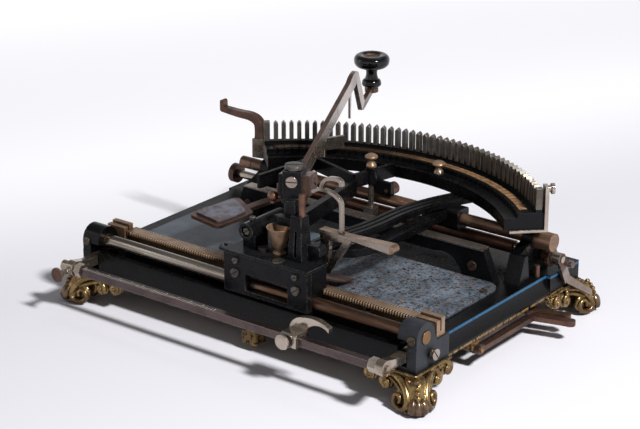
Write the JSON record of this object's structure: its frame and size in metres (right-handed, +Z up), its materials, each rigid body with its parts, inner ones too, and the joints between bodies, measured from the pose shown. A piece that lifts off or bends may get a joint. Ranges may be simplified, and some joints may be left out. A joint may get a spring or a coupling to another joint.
{
  "type": "index typewriter",
  "caption": "Index typewriter with a sliding carriage on two rails, a swinging lever with a knob over an arc of pointed comb fins, a feed roller, a bail with a margin stop, and scroll feet.",
  "frame": {"origin": "on the table, at the centre of the four feet", "axes": "+Z up, the typist sits on the -Y side, +X to the typist's right along the carriage's travel"},
  "size_m": [0.3867, 0.3543, 0.1631],
  "materials": {
    "black_iron": "black japanned cast iron, worn at the edges",
    "gilt_foot": "gilt cast iron, rubbed dark in the hollows",
    "bright_steel": "worn nickel-plated steel",
    "brown_steel": "brown patinated steel",
    "brass": "aged brass",
    "copper": "coppery aged brass",
    "blue_grey": "blue-grey paint speckled with rust",
    "gloss_black": "glossy black hard rubber",
    "ink_felt": "blue-grey felt"
  },
  "bodies": {
    "frame": {"base_casting": "black_iron", "foot_front_left": "gilt_foot", "foot_front_right": "gilt_foot", "foot_rear_left": "gilt_foot", "foot_rear_right": "gilt_foot", "rail_bracket_left": "black_iron", "rail_bracket_right": "black_iron", "front_rail": "brown_steel", "rack_bar": "brass", "rack_clamps": "black_iron", "bed_plate": "blue_grey", "frame_screws": "brass", "rear_beam": "black_iron", "beam_strip": "bright_steel", "rear_upright_left": "black_iron", "rear_upright_right": "black_iron", "rear_rail": "brass"},
    "feed": {"feed_shaft": "copper", "feed_roller": "copper", "feed_sleeves": "bright_steel", "feed_knob": "copper", "ratchet_wheel": "bright_steel"},
    "line_space": {"line_space_lever": "bright_steel"},
    "key_outer": {"key_space": "brown_steel"},
    "key_inner": {"key_shift": "brown_steel"},
    "bail": {"bail_bar": "brown_steel", "bail_arm_left": "bright_steel", "bail_arm_right": "bright_steel", "bail_fittings": "bright_steel"},
    "stop": {"margin_stop": "bright_steel"},
    "stop_screw": {"stop_thumbscrew": "brass"},
    "carriage": {"carriage_block": "black_iron", "face_plate": "black_iron", "top_plate": "black_iron", "carriage_screws": "brass", "shaft_housing": "black_iron", "type_guide": "brass", "pylon": "black_iron", "pivot_column": "black_iron", "ribbed_arm": "black_iron", "slide_arm": "black_iron", "paper_finger": "brown_steel", "index_ring": "black_iron", "comb": "bright_steel", "index_strip": "brass", "ring_brace": "black_iron", "horn": "brown_steel", "end_bracket": "bright_steel", "ink_tray": "brown_steel", "ink_pad": "ink_felt", "ring_posts": "bright_steel"},
    "wheel": {"guide_wheel": "copper"},
    "release": {"release_handle": "bright_steel"},
    "head": {"swing_head": "bright_steel", "head_fittings": "copper", "type_sector": "black_iron"},
    "lever": {"swing_lever": "bright_steel", "knob_arm": "bright_steel", "knob": "gloss_black", "pointer_blade": "brown_steel"}
  },
  "joints": [
    {"name": "carriage_slide", "type": "slide", "parent": "frame", "child": "carriage", "axis": [1, 0, 0], "range_m": [-0.06, 0.106]},
    {"name": "guide_wheel_roll", "type": "hinge", "parent": "carriage", "child": "wheel", "pos_m": [-0.011, -0.072, 0.0836], "axis": [0, 1, 0], "range_deg": [-670, 1175]},
    {"name": "head_swing", "type": "hinge", "parent": "carriage", "child": "head", "pos_m": [-0.025, 0.077, 0.13], "axis": [0, 0, 1], "range_deg": [-66.16, 18.04]},
    {"name": "lever_press", "type": "hinge", "parent": "head", "child": "lever", "pos_m": [-0.0197, 0.06513, 0.132], "axis": [0.9131, 0.4077, 0], "range_deg": [0, 4.2], "stiffness_Nm_per_rad": 1.2, "springref_deg": -20.05},
    {"name": "bail_lift", "type": "hinge", "parent": "frame", "child": "bail", "pos_m": [0, 0.097, 0.0385], "axis": [1, 0, 0], "range_deg": [0, 20]},
    {"name": "stop_slide", "type": "slide", "parent": "bail", "child": "stop", "axis": [1, 0, 0], "range_m": [-0.038, 0.2]},
    {"name": "stop_screw_turn", "type": "hinge", "parent": "stop", "child": "stop_screw", "pos_m": [-0.0695, 0.148, 0.0385], "axis": [0, 1, 0], "range_deg": [-180, 180]},
    {"name": "feed_turn", "type": "hinge", "parent": "frame", "child": "feed", "pos_m": [0, -0.0815, 0.0562], "axis": [1, 0, 0], "continuous": true},
    {"name": "line_space_swing", "type": "hinge", "parent": "frame", "child": "line_space", "pos_m": [-0.17, -0.0815, 0.0562], "axis": [1, 0, 0], "range_deg": [-30, 0]},
    {"name": "key_outer_press", "type": "hinge", "parent": "frame", "child": "key_outer", "pos_m": [-0.1685, 0.03, 0.0165], "axis": [1, 0, 0], "range_deg": [0, 3.5], "stiffness_Nm_per_rad": 0.15, "springref_deg": -11.46},
    {"name": "key_inner_press", "type": "hinge", "parent": "frame", "child": "key_inner", "pos_m": [-0.156, 0.03, 0.0165], "axis": [1, 0, 0], "range_deg": [0, 3.5], "stiffness_Nm_per_rad": 0.15, "springref_deg": -11.46},
    {"name": "release_press", "type": "hinge", "parent": "carriage", "child": "release", "pos_m": [-0.0582, 0.08, 0.09], "axis": [0, 1, 0], "range_deg": [-8, 0], "stiffness_Nm_per_rad": 0.5, "springref_deg": 17.19}
  ],
  "couplings": [
    {"joint": "guide_wheel_roll", "follows": "carriage_slide", "rad_per_m": 192.31}
  ]
}
